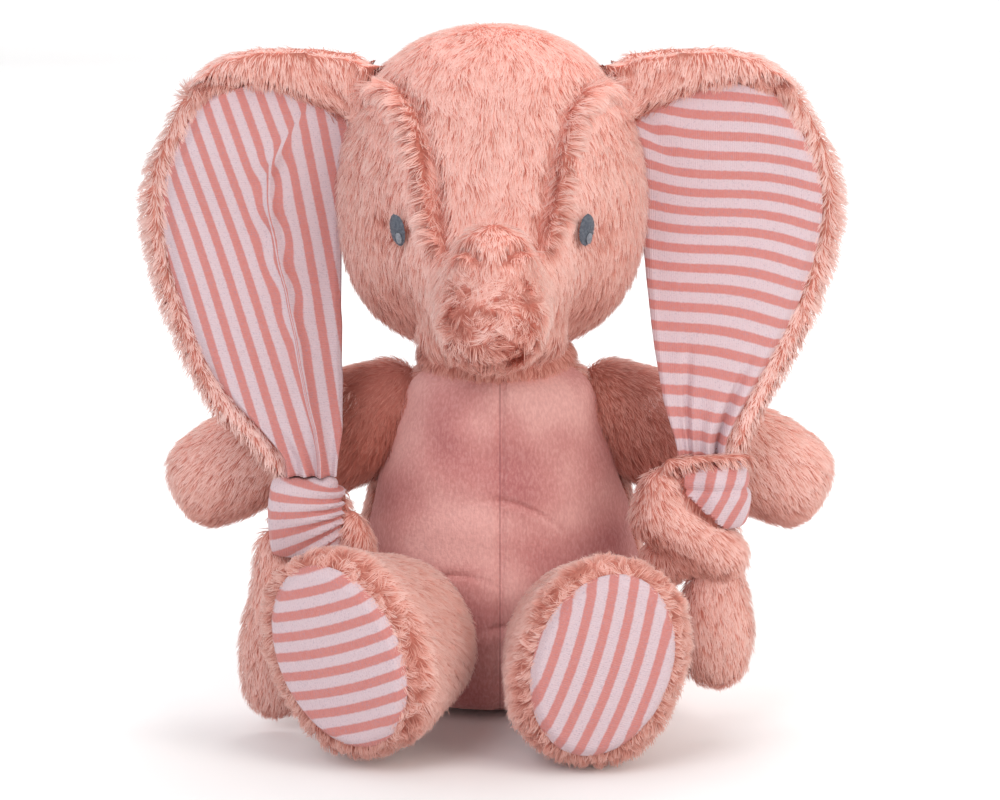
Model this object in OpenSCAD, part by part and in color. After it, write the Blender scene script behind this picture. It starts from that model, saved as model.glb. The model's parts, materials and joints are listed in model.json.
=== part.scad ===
// Seated stuffed elephant with long knotted ears. It faces -Y, and sits on z = 0.
// Every soft piece is a closed solid out to the tips of its pile.

/* [Body] */
// Width of the body at its widest, in mm
body_w = 120; // [116:1:122]
// Depth of the body, front to back
body_d = 100; // [96:1:104]
// Height of the body, from the seat to the neck seam
body_h = 141; // [138:1:142]

/* [Head] */
// Width of the head across the cheeks
head_w = 122; // [118:1:124]
// Depth of the skull, without the trunk
head_d = 116; // [112:1:120]
// Height of the skull
head_h = 129; // [126:1:131]
// Sideways set of the head on the neck
head_x = -3; // [-5:1:5]
// How far the trunk reaches in front of the middle of the head
trunk_reach = 106; // [100:1:110]
// Thickness of the trunk near its tip
trunk_d = 43; // [38:1:46]

/* [Limbs] */
// Thickness of an arm at the paw
paw_d = 47; // [44:1:50]
// Length of an arm from the shoulder joint to the end of the paw
arm_len = 83; // [80:1:86]
// Height of a foot along its long axis
foot_h = 85; // [80:1:86]
// Width of a foot
foot_w = 68; // [64:1:70]
// Length of a leg from the hip joint to the sole
leg_len = 56; // [52:1:60]
// Turn of the right foot about its leg, in degrees
right_foot_roll = -28; // [-32:2:0]
// Turn of the left foot about its leg, in degrees
left_foot_roll = 18; // [0:2:24]

/* [Ears] */
// Reach of an ear from the middle of the head to its outer edge
ear_reach = 139; // [134:1:142]
// Height of the top edge of the ears
ear_top = 264; // [260:1:266]
// Thickness of an ear with its pile
ear_t = 8; // [7:0.5:9]

/* [Fabric] */
// Thickness of the fur fabric with its pile
fur_t = 7; // [6:0.5:8]
// Thickness of the smooth tummy plush
plush_t = 3; // [2.5:0.5:3.5]

/* [Hidden] */

FUR = "#e6a696";
PLUSH = "#be7b7d";
JERSEY = "#eccfcb";
THREAD = "#5c6068";
GLINT = "#a9b0b8";
FILL = "#f4f1ea";

left = 1;    // the elephant's own left side lies towards +X
right = -1;
gap = 0.4;   // between pieces that nearly touch
slack = 1;   // between a fabric shell and its stuffing

head_y = -10;
head_down = head_h * 0.47;   // the skull is flatter under its middle than above it
head_up = head_h - head_down;
head_z = body_h + 2 + head_down;
shoulder = [58, -10, 123];
hip = [[-36, -62, 43], [31, -62, 40.5]];   // right, left
arm_droop = 28;
leg_splay = [25, 7];                     // right, left
foot_roll = [right_foot_roll, left_foot_roll];
knot = [[73, -55, 88], [85, -55, 96]];   // right, left, measured out from the middle of the head
ear_end_len = [66, 62];

// A smooth curve through the stations of a list, t = 0 to 1
function spline(p, t) =
    let (n = len(p) - 1, i = min(floor(t * n), n - 1), f = t * n - i,
         a = p[max(i - 1, 0)], b = p[i], c = p[i + 1], d = p[min(i + 2, n)])
    b + 0.5 * f * (c - a + f * (2 * a - 5 * b + 4 * c - d + f * (3 * b - a - 3 * c + d)));

function mix(a, b, t) = a + (b - a) * t;

// A soft body lies along Y. Each station is [y, height of the middle, half width, reach upwards,
// reach downwards]. skin() gives a point on it: u is the angle from the top towards +X, v = 0 to 1
// runs along it, and k is the depth below the pile.
function skin(line, u, v, k) =
    let (s = spline(line, v), n = len(line) - 1, mid = (line[0][0] + line[n][0]) / 2,
         half = (line[n][0] - line[0][0]) / 2, pull = 1 - k / half,
         tall = cos(u) > 0 ? s[3] : s[4], round = fullness(u))
    [max(s[2] - k, 0.3 * s[2]) * sin(u) * round, mid + (s[0] - mid) * pull,
     s[1] + max(tall - k, 0.3 * tall) * cos(u) * round];

// How far a ring stands outside a plain ellipse between its axes, more below than above
function fullness(u) = 1 + (cos(u) > 0 ? 0.03 : 0.07) * pow(sin(2 * u), 2);

function ring(y, z, w, h) = [y, z, w, h, h];

// Stations around the near end or the far end of a soft body, each a quarter of an ellipse
function near_end(y, z, reach, w, h) =
    [for (q = [2, 32, 62]) ring(y - reach * cos(q), z, w * sin(q), h * sin(q))];
function far_end(y, z, reach, w, h) =
    [for (q = [62, 32, 2]) ring(y + reach * cos(q), z, w * sin(q), h * sin(q))];

function two(a, b, c, d) = [[a, b, c], [a, c, d]];

// A solid between two grids of points with the same rows, outer and inner
module slab(outer, inner) {
    rows = len(outer) - 1;
    cols = len(outer[0]) - 1;
    w = cols + 1;
    in = (rows + 1) * w;
    points = [for (grid = [outer, inner]) for (row = grid) for (p = row) p];
    faces = [
        for (i = [0 : rows - 1]) for (j = [0 : cols - 1]) let (a = i * w + j)
            each concat(two(a, a + w, a + w + 1, a + 1),
                        two(in + a, in + a + 1, in + a + w + 1, in + a + w)),
        for (i = [0 : rows - 1]) let (a = i * w, b = a + cols)
            each concat(two(a, in + a, in + a + w, a + w), two(b, b + w, in + b + w, in + b)),
        for (j = [0 : cols - 1]) let (a = j, b = rows * w + j)
            each concat(two(a, a + 1, in + a + 1, in + a), two(b, in + b, in + b + 1, b + 1))
    ];
    polyhedron(points, faces, convexity = 4);
}

// One cut piece of the skin of a soft body. from() and to() are its edges as angles at each v.
// Rows and columns are counted on one grid per body, so that pieces meet edge to edge.
module panel(line, from, to, rows, total, cols, t) {
    grid = function (k) [for (i = rows) let (v = i / total)
        [for (j = [0 : cols]) skin(line, mix(from(v), to(v), j / cols), v, k)]];
    slab(grid(0), grid(t));
}

// The closed solid inside a soft body, k below its pile, from v = a to v = b
module filling(line, k, a = 0, b = 1, rows = 12, cols = 16) {
    tube([for (i = [0 : rows]) for (j = [0 : cols - 1])
        skin(line, 360 * j / cols, mix(a, b, i / rows), k)], rows, cols);
}

// A closed solid around rows of points, cols to a ring, with a flat face at each end
module tube(points, rows, cols) {
    faces = concat(
        [for (i = [0 : rows - 1]) for (j = [0 : cols - 1])
            let (p = i * cols + j, q = i * cols + (j + 1) % cols)
            each two(p, p + cols, q + cols, q)],
        [[for (j = [0 : cols - 1]) j], [for (j = [cols - 1 : -1 : 0]) rows * cols + j]]);
    polyhedron(points, faces, convexity = 4);
}

// Body. Its own Y axis stands up, and the top of each ring faces forwards.
body_line = [
    ring(0, 0, body_w * 0.38, body_d * 0.38),
    ring(body_h * 0.10, 0, body_w * 0.465, body_d * 0.465),
    ring(body_h * 0.27, 0, body_w * 0.5, body_d * 0.5),
    ring(body_h * 0.46, 0, body_w * 0.485, body_d * 0.48),
    ring(body_h * 0.66, 1, body_w * 0.43, body_d * 0.43),
    ring(body_h * 0.83, 3, body_w * 0.37, body_d * 0.37),
    ring(body_h * 0.95, 5, body_w * 0.32, body_d * 0.31),
    ring(body_h, 7, body_w * 0.22, body_d * 0.20)
];
tummy_edge = 76;
body_rows = 14;

module standing() { rotate([90, 0, 0]) children(); }

module tummy_panel(side) {
    from = function (v) side > 0 ? 0 : -tummy_edge;
    to = function (v) side > 0 ? tummy_edge : 0;
    color(PLUSH) standing() panel(body_line, from, to, [0 : body_rows], body_rows, 6, plush_t);
}

module back_panel(side) {
    from = function (v) side > 0 ? tummy_edge : 180;
    to = function (v) side > 0 ? 180 : 360 - tummy_edge;
    color(FUR) standing() panel(body_line, from, to, [0 : body_rows], body_rows, 8, fur_t);
}

module seat_panel() {
    s = body_line[0];
    oval = [for (u = [0 : 12 : 348]) [(s[2] - fur_t - gap) * sin(u), (s[3] - fur_t - gap) * cos(u)]];
    color(PLUSH) linear_extrude(plush_t) polygon(oval);
}

module pellet_bag() {
    color(FILL) standing()
        filling([ring(plush_t + gap, 0, 30, 24), ring(10, 0, 38, 31), ring(20, 0, 39, 32),
                 ring(27, 0, 30, 24)], 0, rows = 6);
}

module body_stuffing() {
    color(FILL) standing() filling(body_line, fur_t + slack, 0.26, 0.98, rows = 8);
}

module care_label() {
    size = [18, 0.7, 24];
    color("white") translate([-34, body_d / 2 + gap, 18]) cube(size);
}

module neck_seam() {
    color(FUR) translate([head_x / 2, head_y + 1, body_h + 1]) rotate_extrude($fn = 40)
        translate([12, 0]) circle(d = 1.4, $fn = 16);
}

// Head and trunk in one soft body, from the tip of the trunk to the back of the skull
trunk_z = head_z - 34;
trunk_tip = head_y - trunk_reach;
head_line = concat(
    near_end(trunk_tip + 20, trunk_z, 20, trunk_d / 2, trunk_d * 0.47),
    [ring(trunk_tip + 28, trunk_z + 3, trunk_d * 0.51, trunk_d * 0.5),
     [trunk_tip + 40, trunk_z + 9, trunk_d * 0.54, trunk_d * 0.52, trunk_d * 0.56],
     [trunk_tip + 50, trunk_z + 17, trunk_d * 0.72, trunk_d * 0.68, trunk_d * 0.72]],
    [for (q = [44, 67, 90, 112, 134, 156, 178])
        [head_y - head_d / 2 * cos(q), head_z, head_w / 2 * sin(q), head_up * sin(q),
         head_down * sin(q)]]);
head_rows = 36;
nape_row = 27;    // where the face pieces end and the back pieces begin

// Half widths of the forehead gusset and of the chin gusset, as angles
function gusset_edge(v) =
    let (s = spline(head_line, v)) asin(min(0.84, max(0.02, 0.48 * (s[0] - trunk_tip - 6)) / s[2]));
function chin_edge(v) =
    let (s = spline(head_line, v), run = (s[0] - trunk_tip - 18) / 105)
    180 - asin(min(0.5, max(0.01, 26 * sin(180 * min(1, max(0, run)))) / s[2]));

module on_head() { translate([head_x, 0, 0]) children(); }

module forehead_gusset() {
    from = function (v) -gusset_edge(v);
    to = function (v) gusset_edge(v);
    color(FUR) on_head() panel(head_line, from, to, [5 : nape_row], head_rows, 8, fur_t);
}

module chin_gusset() {
    from = function (v) chin_edge(v);
    to = function (v) 360 - chin_edge(v);
    color(FUR) on_head() panel(head_line, from, to, [7 : nape_row], head_rows, 6, fur_t);
}

module cheek_panel(side) {
    top = function (v) v * head_rows < 5 ? 0 : gusset_edge(v);
    bottom = function (v) v * head_rows < 7 ? 180 : chin_edge(v);
    from = function (v) side > 0 ? top(v) : -bottom(v);
    to = function (v) side > 0 ? bottom(v) : -top(v);
    color(FUR) on_head() panel(head_line, from, to, [0 : nape_row], head_rows, 9, fur_t);
}

module head_back(side) {
    from = function (v) side > 0 ? 0 : 180;
    to = function (v) side > 0 ? 180 : 360;
    rows = [nape_row + 0.15, each [nape_row + 1 : head_rows]];
    color(FUR) on_head() panel(head_line, from, to, rows, head_rows, 10, fur_t);
}

module head_stuffing() {
    color(FILL) on_head() filling(head_line, fur_t + slack, 0.05, 0.98, rows = 24);
}

// Embroidered eyes, flat ovals that lie on the cheek
eye = [7, 1.4, 12];

module on_cheek(side) {
    p = skin(head_line, side * 79, 0.444, -2);
    on_head() translate(p) rotate([4, 0, side * 38]) rotate([0, side * 8, 0]) children();
}

module oval_patch(size) {
    rotate([90, 0, 0]) linear_extrude(size[1], center = true)
        polygon([for (u = [0 : 15 : 345]) [size[0] / 2 * cos(u), size[2] / 2 * sin(u)]]);
}

module eye(side) { color(THREAD) on_cheek(side) oval_patch(eye); }

module eye_glint(side) {
    color(GLINT) on_cheek(side) translate([1, -1.2, -3]) oval_patch([2.4, 0.7, 4]);
}

// Ears. h = 0 to 1 runs down an ear from its top edge to the knot, t from the head outwards.
function far_edge(h, reach, at_end) =
    spline([[reach * 0.9, 0], [reach * 0.98, 0], [reach, 0], [reach * 0.97, 0],
            [reach * 0.9, 0], [reach * 0.8, 0], [at_end, 0]], h)[0];
function ear_point(h, t, k, at) =
    let (outer = far_edge(h, ear_reach, at[0] + 13),
         inner = spline([[44, 0], [61, 0], [63, 0], [mix(63, at[0] - 12, 0.4), 0], [at[0] - 12, 0]], h)[0],
         y = spline([[-6, 0], [-7, 0], [-10, 0], [-31, 0], [at[1], 0]], h)[0])
    [mix(inner, outer, t), y - 5 * sin(180 * t) * sin(180 * h) + k,
     mix(ear_top - 2 - 20 * pow(t, 8) + 3 * sin(180 * t), at[2] + 14, h)];

module on_side(side) { on_head() mirror([side > 0 ? 0 : 1, 0, 0]) children(); }
function of(pair, side) = side > 0 ? pair[1] : pair[0];

module ear_sheet(side, front, back, h0, t1, rows, cols) {
    grid = function (k) [for (i = [0 : rows])
        [for (j = [0 : cols]) ear_point(mix(h0, 1, i / rows), t1 * j / cols, k, of(knot, side))]];
    on_side(side) slab(grid(back), grid(front));
}

module ear_back(side) { color(FUR) ear_sheet(side, 0, ear_t, 0, 1, 12, 8); }
module ear_lining(side) { color(JERSEY) ear_sheet(side, -2.4, -0.7, 0.1, 0.92, 12, 8); }

// The top edge of the ear rolled forwards over the lining, widest where it meets the head
module ear_fold(side) {
    rows = 6;
    cols = 10;
    points = [for (i = [0 : rows]) for (j = [0 : cols - 1])
        let (t = mix(0.02, 0.9, i / rows), drop = 0.1 - 0.07 * pow(t, 0.6), a = 360 * j / cols)
        ear_point(drop * (1 - sin(a)), t, -7.5 + 4.5 * cos(a), of(knot, side))];
    color(FUR) on_side(side) tube(points, rows, cols);
}

module ear_knot(side) {
    line = [ring(-14, 0, 12, 8), ring(-12, 0, 15, 11), ring(-2, 0, 18, 13), ring(7, 0, 16, 12),
            ring(13, 0, 12, 8)];
    color(JERSEY) on_side(side) translate(of(knot, side)) standing() filling(line, 0, rows = 8);
}

// Half of the loose end of an ear below its knot. u0 is where the half starts round it.
module ear_end(side, t, u0) {
    at = of(knot, side) + [side > 0 ? 2 : 11, 2, -15];
    len = of(ear_end_len, side);
    line = concat(near_end(-len + 16, 0, 16, 12, 9), [ring(-len * 0.5, 0, 12, 9), ring(-4, 0, 8, 6)]);
    from = function (v) u0;
    to = function (v) u0 + 180;
    on_side(side) translate(at) standing() panel(line, from, to, [0 : 10], 10, 6, t);
}

module ear_end_fur(side) { color(FUR) ear_end(side, fur_t - 2, -90); }
module ear_end_lining(side) { color(JERSEY) ear_end(side, 1.5, 90); }

// Arms. The line runs out from the shoulder, and the near end is the rounded shoulder seam.
arm_line = concat(
    near_end(0, 0, 8, 15, 14),
    [ring(10, 0, 17, 16), ring(33, 0, 19, 20), ring(arm_len - 34, 0, paw_d * 0.47, paw_d * 0.49)],
    far_end(arm_len - 20, 0, 20, paw_d * 0.49, paw_d * 0.5));

module at_shoulder(side) {
    mirror([side > 0 ? 0 : 1, 0, 0]) translate(shoulder) rotate([0, arm_droop, 0])
        rotate([0, 0, -90]) children();
}

module arm_front(side) {
    from = function (v) 0;
    to = function (v) 180;
    color(FUR) at_shoulder(side) panel(arm_line, from, to, [0 : 12], 12, 7, fur_t);
}

module arm_back(side) {
    from = function (v) 180;
    to = function (v) 360;
    color(FUR) at_shoulder(side) panel(arm_line, from, to, [0 : 12], 12, 7, fur_t);
}

module arm_stuffing(side) {
    color(FILL) at_shoulder(side) filling(arm_line, fur_t + slack, 0.1, 0.9, rows = 9, cols = 12);
}

// Legs. The line runs forwards from the hip to the rim around the sole.
sole_r = [foot_w * 0.37, foot_h * 0.41];
leg_line = concat(
    near_end(0, 0, 15, 29, 31),
    [ring(9, 0, 30, 34), ring(leg_len - 30, 1, foot_w * 0.465, foot_h * 0.44),
     ring(leg_len - 18, 2, foot_w * 0.49, foot_h * 0.48),
     ring(leg_len - 7, 3, foot_w * 0.5, foot_h * 0.5),
     ring(leg_len - 1, 3, foot_w * 0.45, foot_h * 0.465),
     ring(leg_len, 3, sole_r[0], sole_r[1])]);

module at_hip(side) {
    translate(of(hip, side)) rotate([0, 0, 180 + side * of(leg_splay, side)])
        rotate([0, -of(foot_roll, side), 0]) children();
}

// The two halves of a leg meet along its top and bottom, the inner one towards the other leg
module leg_panel(side, half) {
    from = function (v) half * side > 0 ? 0 : 180;
    to = function (v) half * side > 0 ? 180 : 360;
    color(FUR) at_hip(side) panel(leg_line, from, to, [0 : 14], 14, 8, fur_t);
}

module leg_inner(side) { leg_panel(side, 1); }
module leg_outer(side) { leg_panel(side, -1); }

module sole(side) {
    line = [ring(leg_len + gap, 3, sole_r[0], sole_r[1]),
            ring(leg_len + 1.5, 3, sole_r[0], sole_r[1]),
            ring(leg_len + 3, 3, sole_r[0] - 6, sole_r[1] - 6)];
    color(JERSEY) at_hip(side) filling(line, 0, rows = 4, cols = 24);
}

module leg_stuffing(side) {
    color(FILL) at_hip(side) filling(leg_line, fur_t + slack, 0.12, 0.84, rows = 9, cols = 12);
}

// Tail, a short fur tube with a tuft
tail = [0, body_d / 2 + 5.5, 46];

module at_tail() { translate(tail) rotate([-52, 0, 0]) children(); }

module tail_tube() {
    color(FUR) at_tail() filling(concat(near_end(0, 0, 5, 5, 5), [ring(8, 0, 5.5, 5.5), ring(24, 0, 5, 5)]), 0,
                                 rows = 8, cols = 12);
}

module tail_tuft() {
    color(FUR) at_tail() filling(concat([ring(24.2, 0, 5, 5), ring(30, 0, 7.5, 7.5)],
                                        far_end(35, 0, 8, 8, 8)), 0, rows = 8, cols = 12);
}

tummy_panel(left);  // tummy_panel_left
tummy_panel(right);  // tummy_panel_right
back_panel(left);  // back_panel_left
back_panel(right);  // back_panel_right
seat_panel();
body_stuffing();
pellet_bag();
care_label();
neck_seam();
forehead_gusset();
cheek_panel(left);  // cheek_panel_left
cheek_panel(right);  // cheek_panel_right
chin_gusset();
head_back(left);  // head_back_left
head_back(right);  // head_back_right
head_stuffing();
eye(left);  // eye_left
eye(right);  // eye_right
eye_glint(left);  // eye_glint_left
eye_glint(right);  // eye_glint_right
ear_back(left);  // ear_back_left
ear_back(right);  // ear_back_right
ear_lining(left);  // ear_lining_left
ear_lining(right);  // ear_lining_right
ear_fold(left);  // ear_fold_left
ear_fold(right);  // ear_fold_right
ear_knot(left);  // ear_knot_left
ear_knot(right);  // ear_knot_right
ear_end_fur(left);  // ear_end_fur_left
ear_end_fur(right);  // ear_end_fur_right
ear_end_lining(left);  // ear_end_lining_left
ear_end_lining(right);  // ear_end_lining_right
arm_front(left);  // arm_front_left
arm_front(right);  // arm_front_right
arm_back(left);  // arm_back_left
arm_back(right);  // arm_back_right
arm_stuffing(left);  // arm_stuffing_left
arm_stuffing(right);  // arm_stuffing_right
leg_inner(left);  // leg_inner_left
leg_inner(right);  // leg_inner_right
leg_outer(left);  // leg_outer_left
leg_outer(right);  // leg_outer_right
sole(left);  // sole_left
sole(right);  // sole_right
leg_stuffing(left);  // leg_stuffing_left
leg_stuffing(right);  // leg_stuffing_right
tail_tube();
tail_tuft();
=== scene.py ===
"""Stuffed elephant: soft skins, real fur strands, striped jersey and stitched eyes around the CAD frame."""
import json
import math
from types import SimpleNamespace

import bpy
import numpy as np
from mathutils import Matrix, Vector
from mathutils.bvhtree import BVHTree
from mathutils.kdtree import KDTree


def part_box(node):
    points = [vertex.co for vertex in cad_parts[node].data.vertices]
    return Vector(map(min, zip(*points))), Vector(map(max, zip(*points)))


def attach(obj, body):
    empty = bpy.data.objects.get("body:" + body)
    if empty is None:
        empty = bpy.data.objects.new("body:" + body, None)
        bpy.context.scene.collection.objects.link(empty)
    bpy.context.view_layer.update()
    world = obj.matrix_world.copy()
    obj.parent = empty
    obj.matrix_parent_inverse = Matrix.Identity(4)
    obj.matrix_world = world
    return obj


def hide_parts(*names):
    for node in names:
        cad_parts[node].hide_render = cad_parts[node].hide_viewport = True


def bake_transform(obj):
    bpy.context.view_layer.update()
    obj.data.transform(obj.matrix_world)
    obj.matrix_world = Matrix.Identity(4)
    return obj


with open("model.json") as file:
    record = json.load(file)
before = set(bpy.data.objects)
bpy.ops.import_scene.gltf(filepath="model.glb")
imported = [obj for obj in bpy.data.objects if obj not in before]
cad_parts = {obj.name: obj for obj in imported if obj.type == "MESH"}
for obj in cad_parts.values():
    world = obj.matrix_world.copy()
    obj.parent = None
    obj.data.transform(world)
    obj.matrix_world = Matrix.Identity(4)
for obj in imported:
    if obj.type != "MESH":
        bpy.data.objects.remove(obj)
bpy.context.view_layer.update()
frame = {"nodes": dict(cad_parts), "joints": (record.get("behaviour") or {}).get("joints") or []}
NODES = frame["nodes"]
JOINTS = {j["name"]: j for j in frame["joints"]}
SIDES = {"left": 1, "right": -1}
MM = 0.001
STRIPE = 7.6 * MM      # a pink stripe of the jersey and the pale one beside it
PER_MM2 = 2.6          # strands of fur on a square millimetre
STRAND = 0.145 * MM    # half of a strand's width, where it is widest
TUFT = 2.2 * MM        # how far apart the tufts of the fur are
ROOT = 0.4 * MM        # how deep a strand starts in the skin

# Below, p is an array of points in metres, n the normals of the skin at them, and s is 1 on the toy's own
# left and -1 on its right.


# ---------------------------------------------------------------- small helpers

def unit(v):
    """Each vector at length 1."""
    return v / np.maximum(np.linalg.norm(v, axis=-1, keepdims=True), 1e-12)


def smooth(a, b, x):
    """0 below a, 1 above b, with a soft step between them."""
    t = np.clip((x - a) / (b - a), 0, 1)
    return t * t * (3 - 2 * t)


def bell(x, width):
    """1 where x is 0, and falling to nothing on both sides of it over about that width."""
    return np.exp(-(x / width) ** 2)


def waves(p, size, seed, octaves=5):
    """A smooth random field from -1 to 1 at points p, with bumps of about that size in metres."""
    rng = np.random.default_rng(seed)
    total = np.zeros(len(p))
    for _ in range(octaves):
        way = unit(rng.normal(size=3)) * (2 * math.pi / size) * rng.uniform(0.6, 1.4)
        total += np.sin(p @ way + rng.uniform(0, 2 * math.pi))
    return total / math.sqrt(octaves) / 1.2


def verts_of(obj):
    co = np.empty(len(obj.data.vertices) * 3, np.float32)
    obj.data.vertices.foreach_get("co", co)
    return co.reshape(-1, 3).astype(float)


def normals_of(obj):
    no = np.empty(len(obj.data.vertices) * 3, np.float32)
    obj.data.vertex_normals.foreach_get("vector", no)
    return no.reshape(-1, 3).astype(float)


def set_verts(obj, p):
    obj.data.vertices.foreach_set("co", p.astype(np.float32).ravel())
    obj.data.update()


def new_object(name, mesh):
    obj = bpy.data.objects.new(name, mesh)
    bpy.context.scene.collection.objects.link(obj)
    return obj


def mesh_of(name, points, faces):
    """An object with a mesh of these points and faces. All its faces have the same number of corners."""
    mesh = bpy.data.meshes.new(name)
    points = np.asarray(points, np.float32).reshape(-1, 3)
    faces = np.asarray(faces, np.int32)
    mesh.vertices.add(len(points))
    mesh.vertices.foreach_set("co", points.ravel())
    mesh.loops.add(faces.size)
    mesh.loops.foreach_set("vertex_index", faces.ravel())
    mesh.polygons.add(len(faces))
    mesh.polygons.foreach_set("loop_start", np.arange(len(faces), dtype=np.int32) * faces.shape[1])
    mesh.update(calc_edges=True)
    mesh.polygons.foreach_set("use_smooth", np.ones(len(faces), bool))
    return new_object(name, mesh)


def grid_quads(rows, spaces, cols):
    """Faces between the points of a grid with cols points in a row. It closes to a ring if spaces is cols."""
    i, j = np.meshgrid(np.arange(rows), np.arange(spaces), indexing="ij")
    here, beside = i * cols + j, i * cols + (j + 1) % cols
    return np.stack([here, here + cols, beside + cols, beside], axis=-1).reshape(-1, 4)


def put(obj, name, values):
    """Stores one number per vertex on a mesh."""
    attribute = obj.data.attributes.new(name, "FLOAT", "POINT")
    attribute.data.foreach_set("value", np.asarray(values, np.float32).ravel())


def get(obj, name):
    values = np.empty(len(obj.data.vertices), np.float32)
    obj.data.attributes[name].data.foreach_get("value", values)
    return values


def bake_modifiers(obj):
    """Turns what the modifiers make into the object's own mesh."""
    mesh = bpy.data.meshes.new_from_object(obj.evaluated_get(bpy.context.evaluated_depsgraph_get()))
    obj.modifiers.clear()
    obj.data = mesh


def subdivide(obj, levels):
    obj.modifiers.new("fine", "SUBSURF").levels = levels
    bake_modifiers(obj)


def tree(*names):
    """A search tree over some CAD nodes."""
    verts, faces, base = [], [], 0
    for name in names:
        mesh = NODES[name].data
        verts += [v.co for v in mesh.vertices]
        faces += [[base + i for i in p.vertices] for p in mesh.polygons]
        base += len(mesh.vertices)
    return BVHTree.FromPolygons(verts, faces)


def distances(p, search):
    return np.array([search.find_nearest(Vector(q))[3] for q in p])


def box_of(node):
    """The two corners of a CAD node's box, as arrays."""
    return [np.array(corner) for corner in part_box(node)]


def box_point(node, share):
    """A point given by its share of the way through a CAD node's box."""
    lo, hi = box_of(node)
    return lo + (hi - lo) * share


def hinge_of(joint):
    return np.array(JOINTS[joint]["pos_m"])


def everywhere(obj):
    return np.ones(len(obj.data.vertices))


# ---------------------------------------------------------------- skins under the fur

def outer_part(obj):
    """Keeps the largest connected part of a mesh, which is its outer surface."""
    n = len(obj.data.vertices)
    edges = np.empty(len(obj.data.edges) * 2, np.int32)
    obj.data.edges.foreach_get("vertices", edges)
    edges = edges.reshape(-1, 2)
    label = np.arange(n)
    while True:
        low = np.minimum(label[edges[:, 0]], label[edges[:, 1]])
        new = label.copy()
        np.minimum.at(new, edges[:, 0], low)
        np.minimum.at(new, edges[:, 1], low)
        new = new[new]
        if (new == label).all():
            break
        label = new
    p = verts_of(obj)
    spans = {k: np.ptp(p[label == k], axis=0).sum() for k in np.unique(label)}
    keep = label == max(spans, key=spans.get)
    index = np.cumsum(keep) - 1
    faces = [[index[i] for i in f.vertices] for f in obj.data.polygons if keep[f.vertices[0]]]
    mesh = bpy.data.meshes.new(obj.name)
    mesh.from_pydata(p[keep].tolist(), [], faces)
    mesh.update()
    obj.data = mesh


def lump(centre, radii, rows=12, cols=20):
    """Points and faces of a rounded lump, to be melted into a skin."""
    a = np.linspace(0, math.pi, rows + 1)[:, None]
    b = np.linspace(0, 2 * math.pi, cols, endpoint=False)[None]
    p = np.stack([np.sin(a) * np.cos(b), np.sin(a) * np.sin(b), np.cos(a) + 0 * b], axis=-1)
    return p.reshape(-1, 3) * radii + centre, grid_quads(rows, cols, cols)


def chain(points, radii, steps=4):
    """Lumps strung along a line of points, near enough to melt into one roll."""
    points = np.asarray(points, float)
    along = np.linspace(0, len(points) - 1, (len(points) - 1) * steps + 1)
    every = np.arange(len(points))
    xyz = np.stack([np.interp(along, every, points[:, k]) for k in range(3)], axis=1)
    return [lump(c, np.full(3, r)) for c, r in zip(xyz, np.interp(along, every, radii))]


def skin_of(name, nodes, voxel=4 * MM, lumps=()):
    """One closed skin round some CAD nodes and lumps, in even quads."""
    verts, faces, base = [], [], 0
    for points, corners in lumps:
        verts += points.tolist()
        faces += (corners + base).tolist()
        base += len(points)
    for node in nodes:
        mesh = NODES[node].data
        verts += [v.co for v in mesh.vertices]
        faces += [[base + i for i in p.vertices] for p in mesh.polygons]
        base += len(mesh.vertices)
    mesh = bpy.data.meshes.new(name)
    mesh.from_pydata(verts, [], faces)
    obj = new_object(name, mesh)
    remesh = obj.modifiers.new("even", "REMESH")
    remesh.mode = "VOXEL"
    remesh.voxel_size = voxel
    bake_modifiers(obj)
    outer_part(obj)
    return obj


def relax(obj, rounds, share=0.5):
    """Evens the mesh by moving each vertex towards its neighbours."""
    edges = np.empty(len(obj.data.edges) * 2, np.int32)
    obj.data.edges.foreach_get("vertices", edges)
    a, b = edges.reshape(-1, 2).T
    p = verts_of(obj)
    count = np.bincount(np.concatenate([a, b]), minlength=len(p))[:, None]
    for _ in range(rounds):
        total = np.zeros_like(p)
        np.add.at(total, a, p[b])
        np.add.at(total, b, p[a])
        p += (total / count - p) * share
    set_verts(obj, p)


def panels_of(obj, nodes):
    """Which CAD panel each vertex lies under, which one lies across the nearest seam, how far that seam is,
    and the way from it to the vertex."""
    p = verts_of(obj)
    near = [[search.find_nearest(Vector(q)) for q in p] for search in map(tree, nodes)]
    d = np.array([[hit[3] for hit in row] for row in near])
    spot = np.array([[hit[0] for hit in row] for row in near])
    order = np.argsort(d, axis=0)
    every = np.arange(len(p))
    first, second = order[0], order[1]
    seam = np.sqrt(np.maximum(d[second, every] ** 2 - d[first, every] ** 2, 0))
    return first, second, seam, unit(p - spot[second, every])


def sink(obj, depth, steps=4):
    """Moves the skin inwards by a depth per vertex, a little at a time."""
    for _ in range(steps):
        p = verts_of(obj)
        set_verts(obj, p - normals_of(obj) * (np.asarray(depth) / steps)[:, None])
        relax(obj, 1, 0.3)


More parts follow.
